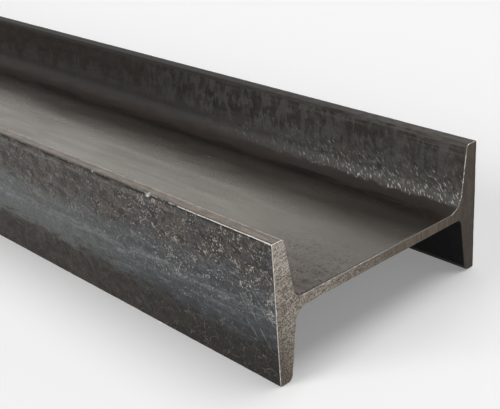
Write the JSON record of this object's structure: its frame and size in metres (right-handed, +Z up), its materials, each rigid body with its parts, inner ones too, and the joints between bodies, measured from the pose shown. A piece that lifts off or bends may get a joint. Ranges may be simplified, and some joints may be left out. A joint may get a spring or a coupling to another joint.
{
  "type": "steel i-beam",
  "caption": "Hot-rolled steel I-beam with tapered flanges, filleted roots and sawn ends, lying on its flange toes; structural stock that carries loads or is cut and fastened.",
  "frame": {"origin": "middle of the beam's footprint, at floor level", "axes": "+X along the beam towards the sawn end that the picture shows, +Y across the section's depth from the near flange to the far one, +Z up along the flanges' width"},
  "size_m": [1, 0.1, 0.05],
  "materials": {
    "rolled_steel": "hot-rolled, with dark brown-grey mill scale, worn arrises and bare sawn ends"
  },
  "bodies": {
    "root": {"i_beam": "rolled_steel"}
  },
  "joints": []
}
